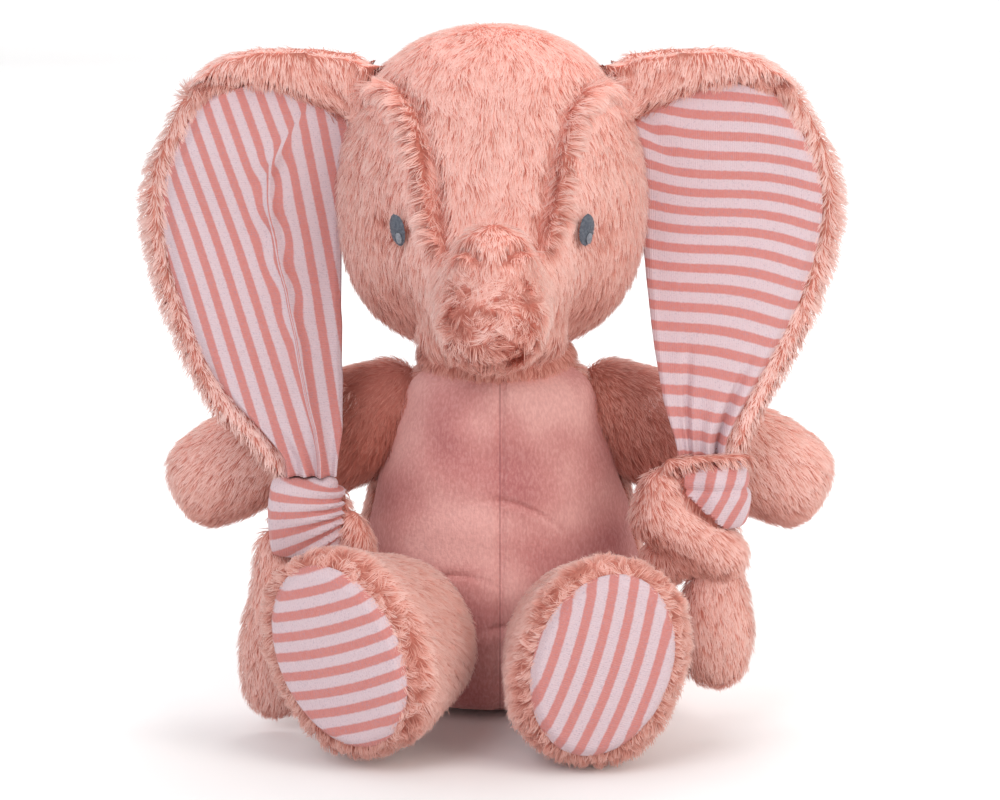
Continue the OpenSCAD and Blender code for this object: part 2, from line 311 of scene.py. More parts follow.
def inflate(objects, pressure=4.0, cap=4 * MM, frames=20):
    """Fills skins by cloth simulation: the seams hold, and the panels between them swell."""
    starts = {o.name: verts_of(o) for o in objects}
    for o in objects:
        group = o.vertex_groups.new(name="seam")
        held = get(o, "held")
        for i in np.nonzero(held > 0)[0]:
            group.add([int(i)], float(held[i]), "REPLACE")
        cloth = o.modifiers.new("fill", "CLOTH")
        cloth.settings.quality = 6
        cloth.settings.mass = 0.2
        cloth.settings.tension_stiffness = cloth.settings.compression_stiffness = 12
        cloth.settings.bending_stiffness = 1.5
        cloth.settings.use_pressure = True
        cloth.settings.uniform_pressure_force = pressure
        cloth.settings.vertex_group_mass = "seam"
        cloth.settings.effector_weights.gravity = 0
        cloth.point_cache.frame_end = frames
    scene = bpy.context.scene
    for f in range(1, frames + 1):
        scene.frame_set(f)
    for o in objects:
        mesh = bpy.data.meshes.new_from_object(o.evaluated_get(bpy.context.evaluated_depsgraph_get()))
        after = np.empty(len(mesh.vertices) * 3, np.float32)
        mesh.vertices.foreach_get("co", after)
        move = after.reshape(-1, 3) - starts[o.name]
        far = np.linalg.norm(move, axis=1, keepdims=True)
        move *= np.minimum(1, cap / np.maximum(far, 1e-9))
        o.modifiers.clear()
        o.vertex_groups.clear()
        set_verts(o, starts[o.name] + move)
        bpy.data.meshes.remove(mesh)
    scene.frame_set(1)


# ---------------------------------------------------------------- fur

def triangles_of(obj, weight):
    """The corners and the weighted area of each triangle of a mesh. weight is a density per vertex."""
    mesh = obj.data
    mesh.calc_loop_triangles()
    tri = np.empty(len(mesh.loop_triangles) * 3, np.int32)
    mesh.loop_triangles.foreach_get("vertices", tri)
    tri = tri.reshape(-1, 3)
    first, second, third = verts_of(obj)[tri.T]
    area = np.linalg.norm(np.cross(second - first, third - first), axis=1) / 2
    return tri, area * weight[tri].mean(axis=1)


def scatter(tri, area, count, rng):
    """Random points on a mesh: for each, its triangle's corners and how much each corner counts."""
    pick = rng.choice(len(tri), size=count, p=area / area.sum())
    a, b = rng.random((2, count))
    flip = a + b > 1
    a[flip], b[flip] = 1 - a[flip], 1 - b[flip]
    return tri[pick], np.stack([1 - a - b, a, b], axis=1)


def tufts(root, per_mm2, rng):
    """Which strands stand in the middle of a tuft, and which of those each strand is nearest to."""
    count = int(len(root) / (per_mm2 * (TUFT / MM) ** 2))
    centres = rng.choice(len(root), size=max(1, count), replace=False)
    nearest = KDTree(len(centres))
    for k, i in enumerate(centres):
        nearest.insert(Vector(root[i]), k)
    nearest.balance()
    return centres, np.array([nearest.find(Vector(q))[1] for q in root])


def strands(coat, at, per_mm2, rng):
    """Four points along each strand, the skin's normal at its root, and a random number for its tuft."""
    root, n = at(verts_of(coat.skin)), unit(at(normals_of(coat.skin)))
    comb = at(coat.comb)
    comb = unit(comb - n * (comb * n).sum(axis=1, keepdims=True))
    size = at(coat.length) * rng.uniform(0.75, 1.12, len(root))
    turn = rng.normal(0, 1, len(root)) * at(coat.curl)
    comb = comb * np.cos(turn)[:, None] + np.cross(n, comb) * np.sin(turn)[:, None]
    centres, mine = tufts(root, per_mm2, rng)
    tint = rng.random(len(centres))[mine]
    points = [root - n * ROOT]
    angle = at(coat.lean) + rng.normal(0, 0.12, len(root))
    for part, bend in ((0.4, 0.75), (0.35, 1.1), (0.25, 1.35)):
        a = np.clip(angle * bend, 0, 1.45)[:, None]
        points.append(points[-1] + (n * np.cos(a) + comb * np.sin(a)) * (size * part)[:, None])
    gather = at(coat.gather)[:, None]
    for k, pull in ((1, 0.35), (2, 0.75), (3, 1.0)):
        points[k] = points[k] + (points[k][centres][mine] - points[k]) * gather * pull
    return points, n, tint


def ribbons(name, points, n, tint, deep, rng):
    """A flat ribbon along each strand, which narrows to its tip, with normals as if it were round."""
    count = len(n)
    path = unit(points[3] - points[0])
    roll = rng.normal(0, 0.5, count)[:, None]
    across = unit(np.cross(n, path) + n * 0.02)
    across = across * np.cos(roll) + np.cross(path, across) * np.sin(roll)
    across *= np.sign((np.cross(across, path) * n).sum(axis=1, keepdims=True) + 1e-9)
    wide = (STRAND * rng.uniform(0.7, 1.3, count))[:, None]
    rows = []
    for point, share in zip(points, (0.8, 1.0, 0.7)):
        rows += [point - across * wide * share, point + across * wide * share]
    verts = np.stack(rows + [points[3]], axis=1)
    strips = np.array([[0, 1, 3], [0, 3, 2], [2, 3, 5], [2, 5, 4], [4, 5, 6]], np.int32)
    faces = np.arange(count, dtype=np.int32)[:, None, None] * 7 + strips
    made = mesh_of(name, verts, faces.reshape(-1, 3))
    put(made, "along", np.tile([0, 0, 0.4, 0.4, 0.75, 0.75, 1.0], count))
    put(made, "tuft", np.repeat(tint, 7))
    put(made, "strand", np.repeat(rng.random(count), 7))
    # Per strand: how much of its dark root shows, which also carries painted shade and painted light.
    put(made, "deep", np.repeat(deep, 7))
    side = np.array([-1, 1, -1, 1, -1, 1, 0])[None, :, None]
    soft = unit(n[:, None] + across[:, None] * side * 0.35 + path[:, None] * 0.1
                + rng.normal(0, 0.1, (count, 1, 3)))
    made.data.normals_split_custom_set_from_vertices(soft.reshape(-1, 3).astype(np.float32))
    made.visible_shadow = False    # pile is thin enough for light to pass through
    return made


def fur(name, coat, weight, seed, per_mm2=PER_MM2):
    """Grows fur on a skin, as real ribbons of mesh that gather into tufts. weight is its density per vertex.
    The coat says, per vertex, which way it is combed, its length, how far it leans, how much it curls and
    gathers, and how much of its dark root shows, a value that also carries painted shade and painted light."""
    rng = np.random.default_rng(seed)
    tri, area = triangles_of(coat.skin, np.asarray(weight, float))
    corner, share = scatter(tri, area, int(area.sum() / (MM * MM) * per_mm2), rng)

    def at(values):
        return (values[corner] * (share[..., None] if values.ndim > 1 else share)).sum(axis=1)

    points, n, tint = strands(coat, at, per_mm2, rng)
    return ribbons(name, points, n, tint, at(coat.deep), rng)


# ---------------------------------------------------------------- materials

class Nodes:
    """A short way to write a node tree."""

    def __init__(self, name):
        self.material = bpy.data.materials.new(name)
        self.material.use_nodes = True
        self.tree = self.material.node_tree
        self.shader = next(n for n in self.tree.nodes if n.type == "BSDF_PRINCIPLED")

    def add(self, kind, inputs=None, **settings):
        node = self.tree.nodes.new(kind)
        for key, value in settings.items():
            setattr(node, key, value)
        for key, value in (inputs or {}).items():
            if isinstance(value, bpy.types.NodeSocket):
                self.tree.links.new(value, node.inputs[key])
            else:
                node.inputs[key].default_value = value
        return node

    def math(self, operation, a, b=0.0, clamp=False):
        return self.add("ShaderNodeMath", {0: a, 1: b}, operation=operation, use_clamp=clamp).outputs[0]

    def times(self, a, b, clamp=False):
        return self.math("MULTIPLY", a, b, clamp)

    def plus(self, a, b):
        return self.math("ADD", a, b)

    def minus(self, a, b):
        return self.math("SUBTRACT", a, b)

    def step(self, value, start, end, low=0.0, high=1.0):
        """low below start, high above end, and a ramp between them."""
        inputs = {"Value": value, "From Min": start, "From Max": end, "To Min": low, "To Max": high}
        return self.add("ShaderNodeMapRange", inputs).outputs[0]

    def attribute(self, name):
        return self.add("ShaderNodeAttribute", attribute_name=name).outputs["Fac"]

    def noise(self, scale, detail=2.0, vector=None, rough=0.5):
        inputs = {"Scale": scale, "Detail": detail, "Roughness": rough}
        inputs["Vector"] = vector or self.add("ShaderNodeTexCoord").outputs["Object"]
        return self.add("ShaderNodeTexNoise", inputs).outputs["Fac"]

    def ramp(self, factor, *stops):
        node = self.add("ShaderNodeValToRGB", {"Fac": factor})
        elements = node.color_ramp.elements
        while len(elements) < len(stops):
            elements.new(0.5)
        for element, (place, colour) in zip(elements, stops):
            element.position = place
            element.color = (*colour, 1)
        return node.outputs["Color"]

    def mix(self, factor, a, b, blend="MIX"):
        node = self.add("ShaderNodeMix", data_type="RGBA", blend_type=blend)
        for socket, value in ((node.inputs["Factor"], factor), (node.inputs[6], a), (node.inputs[7], b)):
            if isinstance(value, bpy.types.NodeSocket):
                self.tree.links.new(value, socket)
            else:
                socket.default_value = value if not isinstance(value, tuple) else (*value, 1)
        return node.outputs[2]

    def lit_through(self, colour):
        """Lights the back of each strand by the light that falls on its front, as thin pile is."""
        self.behind(self.add("ShaderNodeBsdfTranslucent", {"Color": colour}))

    def clear_behind(self):
        """Lets a view from behind a wall see past it."""
        self.behind(self.add("ShaderNodeBsdfTransparent"))

    def behind(self, shader):
        """Gives the back of the surface a shader of its own."""
        back = self.add("ShaderNodeNewGeometry").outputs["Backfacing"]
        both = self.add("ShaderNodeMixShader", {"Fac": back})
        output = next(n for n in self.tree.nodes if n.type == "OUTPUT_MATERIAL")
        self.tree.links.new(self.shader.outputs[0], both.inputs[1])
        self.tree.links.new(shader.outputs[0], both.inputs[2])
        self.tree.links.new(both.outputs[0], output.inputs["Surface"])

    def finish(self, colour, roughness=0.9, sheen=0.0, sheen_tint=(1, 1, 1), height=None, bump=0.3, reach=MM):
        self.tree.links.new(colour, self.shader.inputs["Base Color"])
        self.shader.inputs["Roughness"].default_value = roughness
        self.shader.inputs["Specular IOR Level"].default_value = 0.25
        self.shader.inputs["Sheen Weight"].default_value = sheen
        self.shader.inputs["Sheen Roughness"].default_value = 0.45
        self.shader.inputs["Sheen Tint"].default_value = (*sheen_tint, 1)
        if height is not None:
            node = self.add("ShaderNodeBump", {"Height": height, "Strength": bump, "Distance": reach})
            self.tree.links.new(node.outputs["Normal"], self.shader.inputs["Normal"])
        return self.material


def srgb(r, g, b):
    """A colour given as it looks on screen, 0 to 255."""
    return tuple(((c / 255 + 0.055) / 1.055) ** 2.4 if c > 10 else c / 255 / 12.92 for c in (r, g, b))


def fur_material():
    m = Nodes("fur")
    along = m.attribute("along")
    tuft = m.attribute("tuft")
    strand = m.attribute("strand")
    tone = m.plus(m.times(tuft, 0.5), m.times(strand, 0.5))
    patch = m.noise(45.0)
    shade = m.plus(along, m.times(m.minus(tone, 0.5), 0.3))
    # Shifts the strand towards its root colour: dark roots that show, plus painted shade and painted light
    # from the coat.
    shade = m.minus(shade, m.times(m.attribute("deep"), 0.8))
    colour = m.ramp(shade, (0.0, srgb(178, 104, 88)), (0.35, srgb(210, 149, 135)), (0.7, srgb(224, 183, 173)),
                    (1.0, srgb(232, 203, 197)))
    colour = m.mix(m.times(patch, 0.25), colour, srgb(222, 172, 162))
    m.lit_through(colour)
    return m.finish(colour, roughness=0.75, sheen=0.4, sheen_tint=srgb(255, 232, 224))


def hide_material():
    m = Nodes("fur_backing")
    colour = m.ramp(m.noise(400.0, 3.0), (0.3, srgb(168, 100, 86)), (0.7, srgb(198, 132, 118)))
    return m.finish(colour, roughness=0.95)


# ---------------------------------------------------------------- the stage

def look(obj, target):
    obj.rotation_mode = "QUATERNION"
    obj.rotation_quaternion = (Vector(target) - obj.location).to_track_quat("-Z", "Y")


def make_camera():
    data = bpy.data.cameras.new("camera")
    data.lens = 135
    data.sensor_width = 36
    camera = bpy.data.objects.new("camera", data)
    aim, away, up = Vector((0, 0, 0.1212)), 1.5, math.radians(11)
    camera.location = aim + Vector((0, -math.cos(up), math.sin(up))) * away
    bpy.context.scene.collection.objects.link(camera)
    look(camera, aim)
    data.clip_end = 20
    bpy.context.scene.camera = camera


def make_light(name, place, size, watts, colour):
    data = bpy.data.lights.new(name, "AREA")
    data.shape = "DISK"
    data.size = size
    data.energy = watts
    data.color = colour
    light = bpy.data.objects.new(name, data)
    light.location = place
    bpy.context.scene.collection.objects.link(light)
    look(light, (0, 0, 0.12))


def make_stage():
    """A pale floor that curves up into a wall, white light from all round, and three soft lamps."""
    n, reach, wall = 24, 2.6, 1.6
    rows = []
    for i in range(n + 1):
        t = i / n
        y = -reach + (reach + wall) * min(1, t * 1.5)
        bend = max(0.0, t - 0.5) * 2
        rows.append((y, 2.5 * bend ** 3))
    points = [(x, y, z) for y, z in rows for x in (-3.5, 3.5)]
    faces = [(2 * i, 2 * i + 1, 2 * i + 3, 2 * i + 2) for i in range(n)]
    floor = mesh_of("floor", points, faces)
    m = Nodes("floor")
    floor.data.materials.append(m.finish(m.ramp(m.noise(3.0), (0.0, (0.92,) * 3), (1.0, (0.94,) * 3)), 0.9))
    m.clear_behind()
    world = bpy.data.worlds.new("studio")
    world.use_nodes = True
    world.node_tree.nodes["Background"].inputs["Color"].default_value = (1, 1, 1, 1)
    world.node_tree.nodes["Background"].inputs["Strength"].default_value = 0.68
    bpy.context.scene.world = world
    make_light("key", (-0.9, -1.4, 1.7), 1.2, 15, (0.97, 0.95, 1.0))
    make_light("fill", (1.2, -1.1, 1.1), 1.2, 14, (1.0, 0.94, 0.88))
    make_light("back", (0.2, 1.0, 1.6), 1.0, 12, (1, 1, 1))
    bpy.context.scene.view_settings.view_transform = "Standard"


# ---------------------------------------------------------------- the soft bodies

HEAD = ["forehead_gusset", "cheek_panel_left", "cheek_panel_right", "chin_gusset", "head_back_left",
        "head_back_right"]
BODY = ["tummy_panel_left", "tummy_panel_right", "back_panel_left", "back_panel_right", "seat_panel"]
PILE = 2.5 * MM      # how far the backing of the fur lies below its tips
NAP = 1.0 * MM       # the same for the tummy plush
DOWN = np.array([0, 0, -1.0])


def soft_skin(name, nodes, filling, depth, lumps=()):
    """A skin below the pile of some panels and round their filling. depth says how far below, per panel."""
    obj = skin_of(name, nodes + filling, 4 * MM, lumps)
    panel, _, seam, _ = panels_of(obj, nodes)
    down = np.array([depth[n] for n in nodes])[panel]
    put(obj, "held", 1 - smooth(2 * MM, 5 * MM, seam))
    sink(obj, down)
    return obj


def limb_nodes(kind, side):
    if kind == "arm":
        return [f"arm_front_{side}", f"arm_back_{side}"]
    return [f"leg_inner_{side}", f"leg_outer_{side}", f"sole_{side}"]


def make_skins():
    muzzle = box_point("cheek_panel_left", (0, 0.19, 0.44)) + (0.5 * MM, 0, 0)
    jaw = [box_point("chin_gusset", (share, 0.4, 0.55)) for share in (0.16, 0.84)]
    hump = chain([muzzle, muzzle + (0, 0, -20 * MM)], [17 * MM, 15.5 * MM], 3)
    hump += chain(jaw, [12 * MM, 12 * MM], 8)
    soft = {"head": soft_skin("head_skin", HEAD, ["head_stuffing"], dict.fromkeys(HEAD, PILE), hump),
            "body": soft_skin("body_skin", BODY, ["body_stuffing", "pellet_bag"],
                              {n: PILE if "back" in n else NAP for n in BODY})}
    for side in SIDES:
        for kind in ("arm", "leg"):
            nodes = limb_nodes(kind, side)
            soft[f"{kind}_{side}"] = soft_skin(f"{kind}_skin_{side}", nodes, [f"{kind}_stuffing_{side}"],
                                               dict.fromkeys(nodes, PILE))
    inflate(list(soft.values()))
    for name, obj in soft.items():
        relax(obj, 2, 0.4)
        subdivide(obj, 2 if name in ("head", "body") else 1)
    return soft


def plain_coat(skin, comb, length=8 * MM, lean=1.12):
    """A coat as fur() needs it. It lies flatter on top, and where it faces down it has painted shade."""
    n = len(skin.data.vertices)
    up = normals_of(skin)[:, 2]
    # The last term is painted shade: strands are darker where the skin faces down.
    return SimpleNamespace(skin=skin, comb=np.tile(np.asarray(comb, float), (n, 1)),
                           length=np.full(n, length), lean=lean + 0.45 * smooth(0.3, 0.85, up),
                           curl=np.full(n, 0.25), gather=np.full(n, 0.35), deep=0.5 * smooth(0.0, -0.7, up))


def comb_towards(coat, goal, share):
    coat.comb += (goal - coat.comb) * share[:, None]


def darken(coat, deep):
    """Shows at least this much of the dark roots. At the shoulders this is painted shade."""
    coat.deep = np.maximum(coat.deep, deep)


def groove(obj, seam, depth, width):
    """Pulls the skin in along its seams."""
    p = verts_of(obj)
    set_verts(obj, p - normals_of(obj) * (depth * bell(seam, width))[:, None])


def settle(obj, material, body, *nodes, slot, padded=None):
    """What every finished piece gets: its material, its body and the CAD nodes it stands for; its finish
    (slot) is not used.
    """
    obj.data.materials.append(material)
    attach(obj, body)
    if nodes:
        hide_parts(*nodes)
    return obj


def back_with_hide(skin, furred):
    """Puts the fur's backing in place of the cloth where a skin has fur on it."""
    skin.data.materials.append(BACKING)
    index = [int(furred[list(f.vertices)].mean() > 0.5) for f in skin.data.polygons]
    skin.data.polygons.foreach_set("material_index", index)


def grow(name, coat, weight, seed, body, *nodes, **how):
    return settle(fur(name, coat, weight, seed, **how), FUR, body, *nodes, slot="fur")


# ---------------------------------------------------------------- head

def part_line(obj, seam, side, width, ridge):
    """A seam pressed in, with a soft roll along one side of it. side is 1 on the rolled side, 0 elsewhere."""
    p = verts_of(obj)
    press = -3.0 * MM * bell(seam, 1.7 * MM)
    roll = ridge * bell(seam - width, 2.0 * MM) * side
    set_verts(obj, p + normals_of(obj) * (press + roll)[:, None])


def trunk_fur(coat, p, n, tip):
    """Curls and gaps down the front of the trunk, and a brushed dome on top of it, made pale by painted
    light.
    """
    across, up = p[:, 0] - tip[0], p[:, 2] - tip[2]
    near = smooth(30 * MM, 18 * MM, p[:, 1] - tip[1]) * smooth(22 * MM, 15 * MM, np.abs(across))
    front = near * smooth(52 * MM, 38 * MM, up) * smooth(0.1, 0.5, -n[:, 1])
    coat.gather += 0.45 * front
    swirl = waves(p, 14 * MM, 5)[:, None] * 2.2 * front[:, None]
    side = np.cross(n, coat.comb)
    coat.comb = coat.comb * np.cos(swirl) + side * np.sin(swirl)
    crushed = front * smooth(-0.15, 0.6, waves(p, 9 * MM, 6))
    centre = front * bell(across, 1.4 * MM)
    darken(coat, np.maximum(crushed * 0.85, centre * 0.95))
    coat.curl += 0.5 * front
    dome = near * smooth(38 * MM, 48 * MM, up)
    forwards = 0.7 * smooth(0.3, 0.8, n[:, 2])
    over = np.stack([0 * forwards, -forwards, 0 * forwards - 1], axis=1)
    comb_towards(coat, over, dome)
    # Painted light: the dome's strands are drawn paler.
    coat.deep -= 0.45 * dome
    coat.lean += 0.25 * dome - 0.35 * crushed
    coat.length *= 1 - 0.25 * dome
    return front


def cheek_seams(coat, p, panel, seam, away, low, tip):
    """Tufts that lie away from the forehead's seams on the cheek side, with the dark of the seam between."""
    above = np.maximum(0, p[:, 2] - tip[2] - 56 * MM)
    beside = smooth(15 * MM, 21 * MM, np.abs(p[:, 0] - tip[0]) + 0.5 * above)
    cheek = bell(seam - 2 * MM, 4 * MM) * (panel != 0) * beside
    comb_towards(coat, away * 1.6 + (0, 0, -0.25), cheek)
    coat.lean -= 0.3 * cheek
    coat.length *= 1 + 0.1 * cheek
    coat.gather += 0.25 * cheek
    line = bell(seam, 1.5 * MM)
    darken(coat, line * (0.45 + 0.5 * low))
    coat.deep -= 0.2 * cheek * (1 - line)


def eye_fur(coat, p, side):
    """Fur parted round an eye, with darker streaks on its outer side. Returns where it stays bare."""
    lo, hi = box_of(f"eye_{side}")
    middle, half = (lo + hi) / 2, (hi - lo) / 2
    off = p - middle
    gap = np.linalg.norm(off * (1.5, 1, 1), axis=1)
    ring = bell(gap - half[2], 4 * MM)
    comb_towards(coat, unit(off) * 1.2 + (0, 0, -0.3), ring * 0.7)
    coat.length *= 1 - 0.4 * bell(gap, 9 * MM)
    far = np.linalg.norm(off * (1, 0, 1.3), axis=1)
    outer = smooth(1 * MM, 3 * MM, off[:, 0] * SIDES[side]) * bell(far, 10 * MM)
    streak = outer * smooth(-0.5, 0.3, waves(p * (0.6, 1, 1.6), 6 * MM, 8))
    darken(coat, 1.1 * streak)
    coat.gather += 0.4 * streak
    return np.linalg.norm(off / (half[0] + MM, 10 * MM, half[2]), axis=1) > 0.95


def dimple(skin, side):
    """Presses the head in at the outer corner of an eye, where its stitches pull."""
    lo, hi = box_of(f"eye_{side}")
    p = verts_of(skin)
    off = (p - (lo + hi) / 2) * (SIDES[side], 1, 1) - (5 * MM, 0, 0)
    far = np.linalg.norm(off * (1, 0.3, 0.7), axis=1)
    set_verts(skin, p - normals_of(skin) * (1.8 * MM * bell(far, 4 * MM))[:, None])


def make_head(skin):
    panel, other, seam, away = panels_of(skin, HEAD)
    ahead = verts_of(skin)[:, 1] < 0
    gusset = ((panel == 0) | (other == 0)) & ahead
    tip = box_of("cheek_panel_left")[0] + (1.5 * MM, 0, 0)
    high = verts_of(skin)[:, 2] > tip[2] + 50 * MM
    for side in SIDES:
        dimple(skin, side)
    part_line(skin, np.where(gusset & high, seam, 1), (panel != 0) & (panel != 3), 3.2 * MM, 2.4 * MM)
    p, n = verts_of(skin), normals_of(skin)
    nose = (p[:, 1] < tip[1] + 25 * MM) * smooth(34 * MM, 28 * MM, p[:, 2] - tip[2])
    centre = bell(p[:, 0] - tip[0], 1.3 * MM) * nose * smooth(tip[2] + 8 * MM, tip[2] + 16 * MM, p[:, 2])
    p += n * (2.5 * MM * smooth(0.3, 0.9, n[:, 2]) * (p[:, 2] > tip[2] + 80 * MM) - 2 * MM * centre)[:, None]
    set_verts(skin, p)
    coat = plain_coat(skin, (0, -0.35, -1.0), length=8.5 * MM, lean=1.12)
    ripple = waves(p, 16 * MM, 9)[:, None] * 0.35
    coat.comb += np.cross(n, coat.comb) * ripple
    front = trunk_fur(coat, p, n, tip)
    low = smooth(tip[2] + 78 * MM, tip[2] + 50 * MM, p[:, 2])
    cheek_seams(coat, p, panel, np.where(gusset & high, seam, 1), away, low, tip)
    crown = smooth(0.55, 0.95, n[:, 2]) * (1 - front)
    # Painted light: the fur on top of the head is drawn paler where it faces up.
    coat.deep -= 0.35 * crown
    coat.lean += 0.15 * crown
    bare = np.ones(len(p))
    for side in SIDES:
        bare *= eye_fur(coat, p, side)
    settle(skin, BACKING, "head", "head_stuffing", slot="fur", padded=0.9)
    for k, node in enumerate(HEAD):
        grow(node + "_fur", coat, (panel == k) * bare, 10 + k, "head", node)


# ---------------------------------------------------------------- body

def make_body(skin):
    """The body: a plush tummy with pleats, dents and creases, and a back of fur."""
    panel, _, seam, _ = panels_of(skin, BODY)
    back = (panel == 2) | (panel == 3)
    groove(skin, seam, 0.9 * MM, 1.6 * MM)
    p, n = verts_of(skin), normals_of(skin)
    lo, hi = box_of("tummy_panel_left")
    put(skin, "seam", p[:, 0] - lo[0])
    high = (p[:, 2] - lo[2]) / (hi[2] - lo[2])
    middle = bell(p[:, 0] - lo[0], 26 * MM)
    pleat = np.sin(p[:, 2] / (1.5 * MM) + 2.5 * waves(p, 45 * MM, 21)) * bell(high - 0.22, 0.05)
    dent = waves(p * (0.6, 1, 1.8), 26 * MM, 22) * 0.6
    crease = 0.0
    for x, rise, bend in ((8 * MM, 0.62, 0.35), (-22 * MM, 0.42, -0.2), (10 * MM, 0.28, 0.15)):
        off = p[:, 0] - lo[0] - x
        line = p[:, 2] - lo[2] - rise * (hi[2] - lo[2]) + bend * off + off ** 2 / (60 * MM)
        crease = crease + bell(line, 1.4 * MM) * bell(off, 14 * MM)
    relief = 0.45 * pleat * middle + dent - 1.1 * crease
    set_verts(skin, p + n * (relief * ~back * smooth(0, 0.05, high) * MM)[:, None])
    coat = plain_coat(skin, (0, 0.1, -1.0), length=7 * MM, lean=1.2)
    settle(skin, PLUSH, "body", "body_stuffing", "pellet_bag", "tummy_panel_left", "tummy_panel_right",
           "seat_panel", slot="plush", padded=0.8)
    back_with_hide(skin, back)
    for k in (2, 3):
        grow(BODY[k] + "_fur", coat, panel == k, 20 + k, "body", BODY[k])


# ---------------------------------------------------------------- arms and legs

def make_arm(skin, side):
    nodes = limb_nodes("arm", side)
    panel, _, seam, _ = panels_of(skin, nodes)
    groove(skin, seam, 1.5 * MM, 3 * MM)
    coat = plain_coat(skin, (0.7 * SIDES[side], 0, -1.0), length=7 * MM, lean=1.15)
    coat.deep += 0.3 * bell(seam, 2 * MM)
    settle(skin, BACKING, f"arm_{side}", f"arm_stuffing_{side}", slot="fur", padded=0.8)
    for k, node in enumerate(nodes):
        grow(node + "_fur", coat, panel == k, 30 + k + 5 * SIDES[side], f"arm_{side}", node)
    make_shoulder(side)


def make_shoulder(side):
    """The top of the sleeve, which the CAD arm stops short of. It bends between the body and the arm."""
    hinge = hinge_of(f"arm_{side}_raise")
    out = np.array([SIDES[side], 0, 0])
    line = [hinge - out * 14 * MM + (0, 7 * MM, 0), hinge + out * 3 * MM + (0, 6 * MM, -11 * MM),
            hinge + out * 22 * MM + (0, 0, -22 * MM)]
    skin = skin_of(f"shoulder_skin_{side}", [], 3 * MM, chain(line, [15 * MM, 22 * MM, 19 * MM]))
    relax(skin, 3, 0.5)
    subdivide(skin, 1)
    coat = plain_coat(skin, out * 0.7 + DOWN)
    p, n = verts_of(skin), normals_of(skin)
    # Painted shade: the front of the shoulder near the body is drawn darker, as if shaded by the head and
    # ears, more on the toy's right.
    shade = smooth(0.2, -0.5, n[:, 1]) * smooth(26 * MM, 2 * MM, (p - hinge) @ out)
    darken(coat, shade * (0.9 if side == "right" else 0.6))
    pile = fur(f"shoulder_fur_{side}", coat, everywhere(skin), 60 + SIDES[side])
    for piece, material in ((skin, BACKING), (pile, FUR)):
        piece.data.materials.append(material)
        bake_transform(piece)


def plane_of(node):
    """Middle, long axis, short axis and normal of a flat CAD node, the normal towards the front."""
    p = verts_of(NODES[node])
    middle = (p.min(0) + p.max(0)) / 2
    axes = np.linalg.svd(p - p.mean(0), full_matrices=False)[2]
    long_ = axes[0] * np.sign(axes[0][2])
    normal = axes[2] * -np.sign(axes[2][1])
    return middle, long_, np.cross(normal, long_), normal


def make_leg(skin, side):
    """A leg, with a lip of ruffled fur round its sole."""
    nodes = limb_nodes("leg", side)
    panel = panels_of(skin, nodes)[0]
    middle, long_, short, normal = plane_of(f"sole_{side}")
    p, n = verts_of(skin), normals_of(skin)
    off = p - middle
    ahead = off @ normal
    radial = unit(off - ahead[:, None] * normal)
    half = np.abs((verts_of(NODES[f"sole_{side}"]) - middle) @ np.stack([short, long_]).T).max(0)
    reach = np.linalg.norm(np.stack([off @ short, off @ long_], axis=1) / half, axis=1)
    rim = smooth(-16 * MM, -4 * MM, ahead)
    lip = rim * bell(reach - 1.04, 0.1)
    coat = plain_coat(skin, DOWN * 0.8 - normal * 0.5, length=7.5 * MM)
    wild = waves(p, 8 * MM, 40)[:, None]
    coat.comb += (radial * 0.7 + 1.2 * wild * np.cross(n, radial) * lip[:, None]) * rim[:, None]
    coat.curl += 0.7 * lip
    coat.gather += 0.45 * lip
    darken(coat, 0.7 * lip * smooth(-0.8, 0.3, waves(p, 5 * MM, 41)))
    coat.lean -= 0.3 * lip
    coat.length *= 1 - 0.15 * lip
    covered = (panel == 2) & (reach < 0.98)
    settle(skin, BACKING, f"leg_{side}", f"leg_stuffing_{side}", slot="fur", padded=0.85)
    for k, node in enumerate(nodes[:2]):
        mine = ((panel == k) | ((panel == 2) & (np.sign(off @ short) == (1 if k else -1)))) & ~covered
        grow(node + "_fur", coat, mine, 50 + k + 5 * SIDES[side], f"leg_{side}", node)
    make_sole(side, middle, long_, short, normal, half)


def make_sole(side, middle, long_, short, normal, half):
    """The striped oval of a foot, domed, with its edge under the fur round it."""
    rings, spokes = 40, 96
    r = (np.arange(rings + 1) / rings)[:, None]
    a = np.linspace(0, 2 * math.pi, spokes, endpoint=False)[None]
    x, y = r * np.cos(a) * half[0] * 0.99, r * np.sin(a) * half[1] * 0.99
    dome = 2.2 * MM * (1 - r ** 2) + 0 * a - 3.0 * MM * smooth(0.9, 1.0, r)
    grid = middle + x[..., None] * short + y[..., None] * long_ + (dome + MM)[..., None] * normal
    sole = mesh_of(f"sole_jersey_{side}", grid, grid_quads(rings, spokes, spokes))
    p = verts_of(sole) - middle
    tilt = math.radians(19 if side == "right" else 72)
    across = np.array([-math.sin(tilt), 0, math.cos(tilt)])
    along = np.array([math.cos(tilt), 0, math.sin(tilt)])
    bow = 2.5 * (p @ along) ** 2
    put(sole, "stripe", p @ across - bow)
    put(sole, "wale", p @ along)
    sole.modifiers.new("cloth", "SOLIDIFY").thickness = 1.0 * MM
    bake_modifiers(sole)
    settle(sole, JERSEY, f"leg_{side}", f"sole_{side}", slot="jersey")


# ---------------------------------------------------------------- ears

